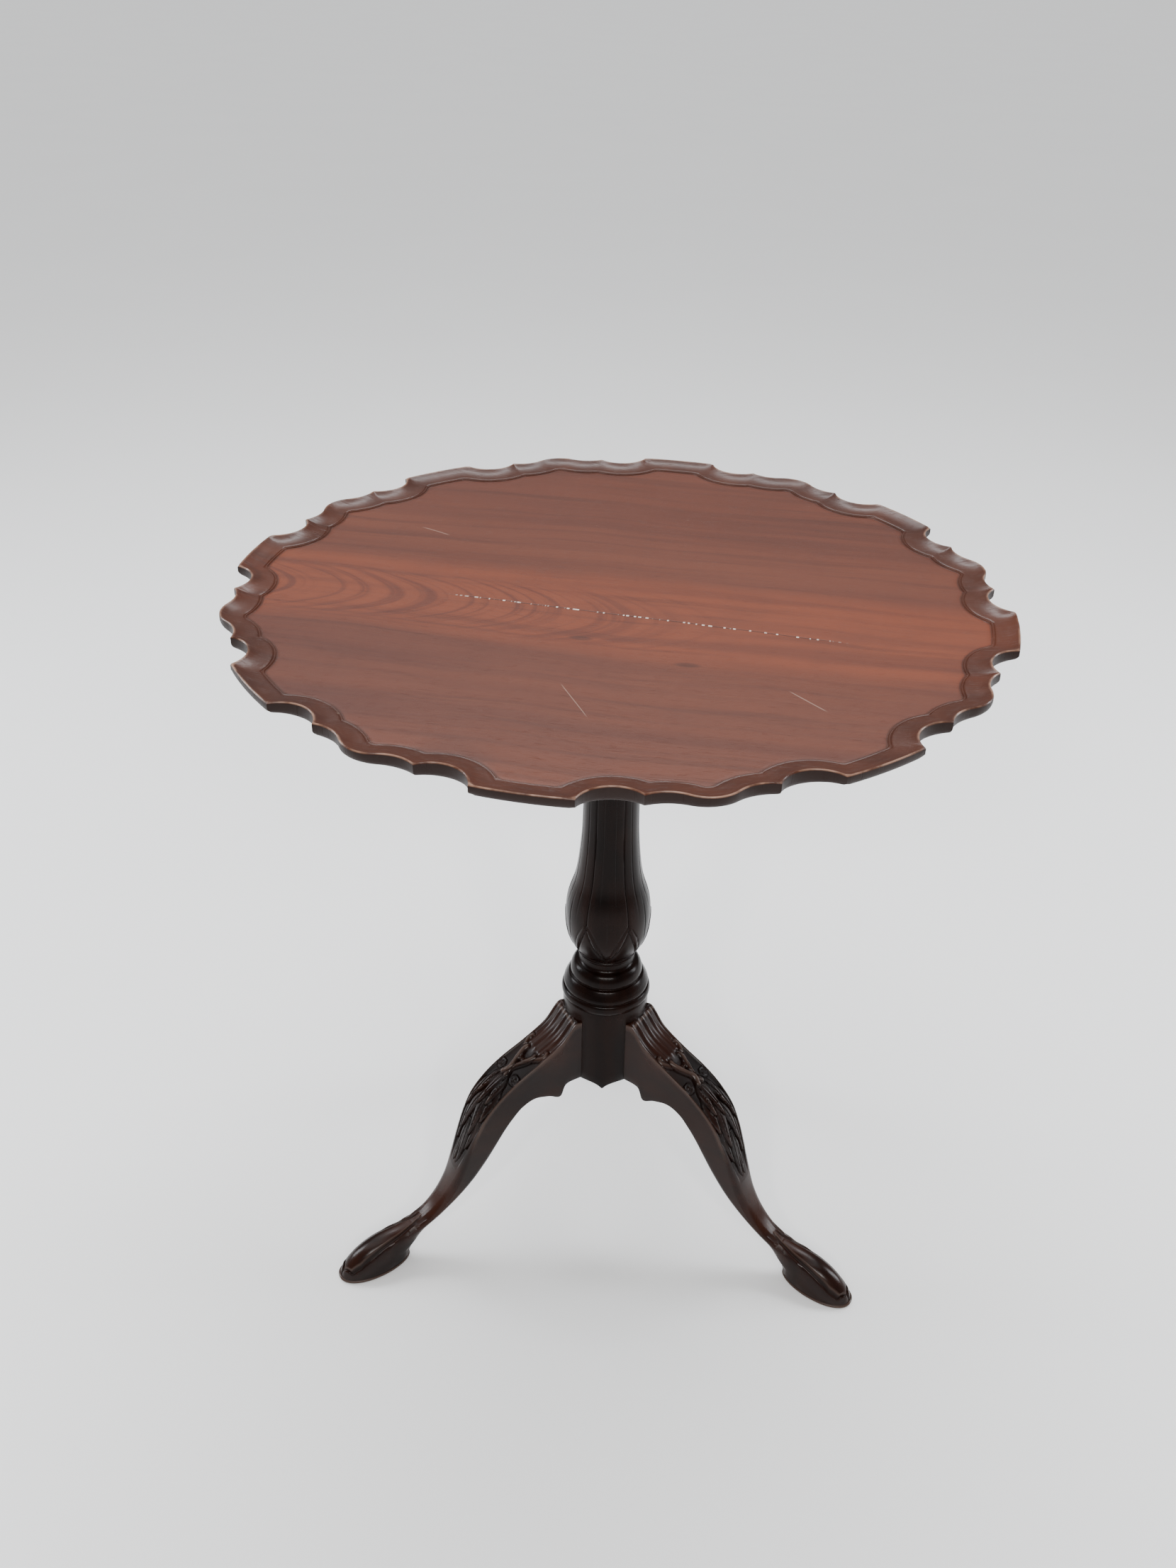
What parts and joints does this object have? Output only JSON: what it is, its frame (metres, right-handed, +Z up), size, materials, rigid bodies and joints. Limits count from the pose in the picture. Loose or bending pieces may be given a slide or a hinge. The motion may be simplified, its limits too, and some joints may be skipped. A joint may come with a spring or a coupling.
{
  "type": "tilt top table",
  "caption": "Round scalloped dished top that tilts upright on a pivot block over a carved column and three cabriole legs.",
  "frame": {"origin": "on the floor under the column's axis, at the middle of the table's box", "axes": "+Z up the column; +X along the grain of the top and the hinge pintles; the hinge is at the front (-Y) and the catch at the back (+Y)"},
  "size_m": [0.6624, 0.6624, 0.72],
  "materials": {
    "top_mahogany": "old polished mahogany, satin, with a worn crest on the rim",
    "base_mahogany": "dark polished mahogany, glossy",
    "block_wood": "plain unpolished mahogany",
    "brass": "aged brass, dull",
    "iron": "dark forged iron",
    "screw_iron": "dark steel"
  },
  "bodies": {
    "stand": {"column": "base_mahogany", "column_wedge": "block_wood", "pivot_block": "block_wood", "leg_back": "base_mahogany", "leg_left": "base_mahogany", "leg_right": "base_mahogany", "brace_plate": "iron", "brace_screws": "screw_iron", "strike_plate": "brass", "strike_screws": "brass"},
    "top": {"tabletop": "top_mahogany", "bearer_left": "block_wood", "bearer_right": "block_wood", "bearer_screws_left": "screw_iron", "bearer_screws_right": "screw_iron", "catch_plate": "brass", "catch_cover": "brass", "catch_spring": "brass", "catch_screws": "brass"},
    "bolt": {"catch_bolt": "brass", "catch_knob": "brass"}
  },
  "joints": [
    {"name": "top_tilt", "type": "hinge", "parent": "stand", "child": "top", "pos_m": [0, -0.065, 0.683], "axis": [1, 0, 0], "range_deg": [0, 90]},
    {"name": "catch_slide", "type": "slide", "parent": "top", "child": "bolt", "axis": [0, -1, 0], "range_m": [0, 0.009]}
  ]
}
